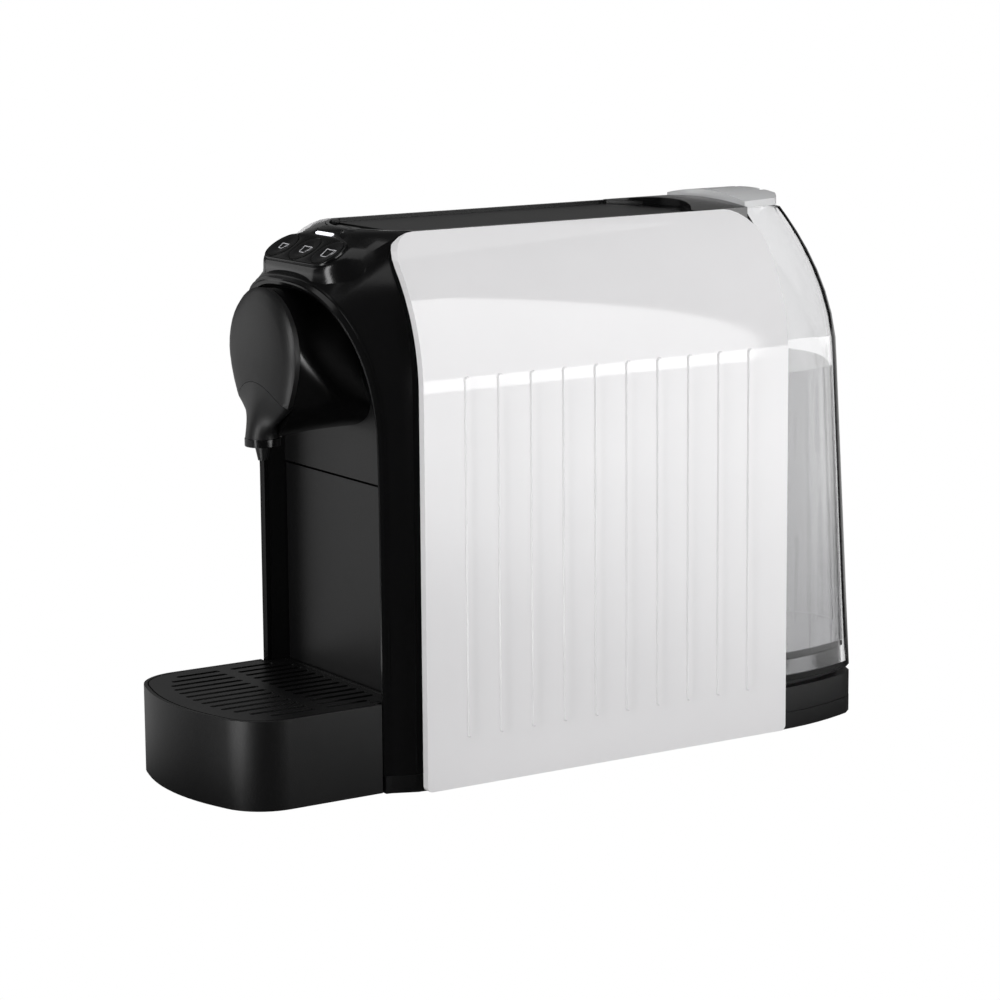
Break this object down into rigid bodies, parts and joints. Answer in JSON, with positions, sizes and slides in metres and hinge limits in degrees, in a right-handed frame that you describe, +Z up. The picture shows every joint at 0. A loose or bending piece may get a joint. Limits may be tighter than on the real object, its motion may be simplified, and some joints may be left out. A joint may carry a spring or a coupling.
{
  "type": "pod coffee machine",
  "caption": "Compact pod coffee machine with arched front, oval spout head, top lever, push buttons, slotted drip tray, ribbed side panels and a clear lift-off water tank",
  "frame": {"origin": "centre of the bounding box in plan, at the height of the surface that the machine stands on", "axes": "+X is the right-hand side of a user who stands facing the machine's front; -Y points out of the front, where the drip tray is; +Z is up"},
  "size_m": [0.141, 0.365, 0.2561],
  "materials": {
    "gloss_black": "glossy piano black ABS",
    "satin_black": "satin black moulded plastic",
    "gloss_white": "glossy white ABS",
    "clear_tank": "clear moulded plastic",
    "smoke_lid": "dark translucent plastic",
    "light_white": "white light guide",
    "plain_steel": "plain steel",
    "cast_alloy": "cast aluminium",
    "inner_grey": "grey glass-filled plastic",
    "inner_white": "off-white plastic",
    "board_green": "circuit board",
    "foot_rubber": "matte rubber",
    "seal_red": "silicone rubber",
    "hose_clear": "silicone hose"
  },
  "bodies": {
    "chassis": {"base_plate": "satin_black", "feet": "foot_rubber", "base_screws": "plain_steel", "housing": "gloss_black", "rear_cover": "gloss_black", "top_deck": "gloss_black", "recess_cup": "gloss_black", "rear_deck": "gloss_black", "front_cowl": "gloss_black", "arch_trim": "gloss_black", "bay_liner": "satin_black", "head_body": "gloss_black", "head_cap": "satin_black", "head_lower_cover": "satin_black", "spout_ring": "gloss_black", "spout_nozzle": "satin_black", "button_fascia": "gloss_black", "light_bar": "light_white", "button_board": "board_green", "lever_pin": "plain_steel", "brew_frame": "inner_grey", "capsule_holder": "inner_grey", "brew_outlet": "plain_steel", "thermoblock": "cast_alloy", "thermostat": "inner_white", "pump": "inner_grey", "pump_mounts": "foot_rubber", "flow_meter": "inner_white", "suction_hose": "hose_clear", "meter_hose": "hose_clear", "pressure_hose": "hose_clear", "brew_hose": "hose_clear", "main_board": "board_green", "tank_seat": "satin_black", "seat_gasket": "foot_rubber", "side_panel_left": "gloss_white", "side_panel_right": "gloss_white", "panel_clips": "inner_grey", "cord_gland": "foot_rubber"},
    "button_1": {"button_left": "satin_black"},
    "button_2": {"button_middle": "satin_black"},
    "button_3": {"button_right": "satin_black"},
    "lever_body": {"lever": "satin_black"},
    "piston_body": {"brew_piston": "inner_grey", "piston_seal": "seal_red"},
    "front_unit": {"drip_tray": "satin_black", "bin_front": "satin_black", "capsule_bin": "satin_black"},
    "grate_body": {"drip_grate": "satin_black"},
    "tank_body": {"water_tank": "clear_tank", "tank_valve": "inner_white", "valve_spring": "plain_steel", "tank_filter": "inner_white", "lid_pins": "plain_steel"},
    "lid_body": {"tank_lid": "smoke_lid"}
  },
  "joints": [
    {"name": "button_left_press", "type": "slide", "parent": "chassis", "child": "button_1", "axis": [0, 0.515, -0.8572], "range_m": [0, 0.001], "stiffness_N_per_m": 600},
    {"name": "button_middle_press", "type": "slide", "parent": "chassis", "child": "button_2", "axis": [0, 0.515, -0.8572], "range_m": [0, 0.001], "stiffness_N_per_m": 600},
    {"name": "button_right_press", "type": "slide", "parent": "chassis", "child": "button_3", "axis": [0, 0.515, -0.8572], "range_m": [0, 0.001], "stiffness_N_per_m": 600},
    {"name": "lever_hinge", "type": "hinge", "parent": "chassis", "child": "lever_body", "pos_m": [0, 0.087, 0.247], "axis": [-1, 0, 0], "range_deg": [0, 65]},
    {"name": "piston_slide", "type": "slide", "parent": "chassis", "child": "piston_body", "axis": [0, 1, 0], "range_m": [0, 0.036]},
    {"name": "front_unit_slide", "type": "slide", "parent": "chassis", "child": "front_unit", "axis": [0, -1, 0], "range_m": [0, 0.12]},
    {"name": "grate_lift", "type": "slide", "parent": "front_unit", "child": "grate_body", "axis": [0, 0, 1], "range_m": [0, 0.03]},
    {"name": "tank_lift", "type": "slide", "parent": "chassis", "child": "tank_body", "axis": [0, 0, 1], "range_m": [0, 0.12]},
    {"name": "lid_hinge", "type": "hinge", "parent": "tank_body", "child": "lid_body", "pos_m": [0, 0.1404, 0.252], "axis": [-1, 0, 0], "range_deg": [0, 95]}
  ],
  "couplings": [
    {"joint": "piston_slide", "follows": "lever_hinge", "m_per_rad": 0.031733}
  ]
}
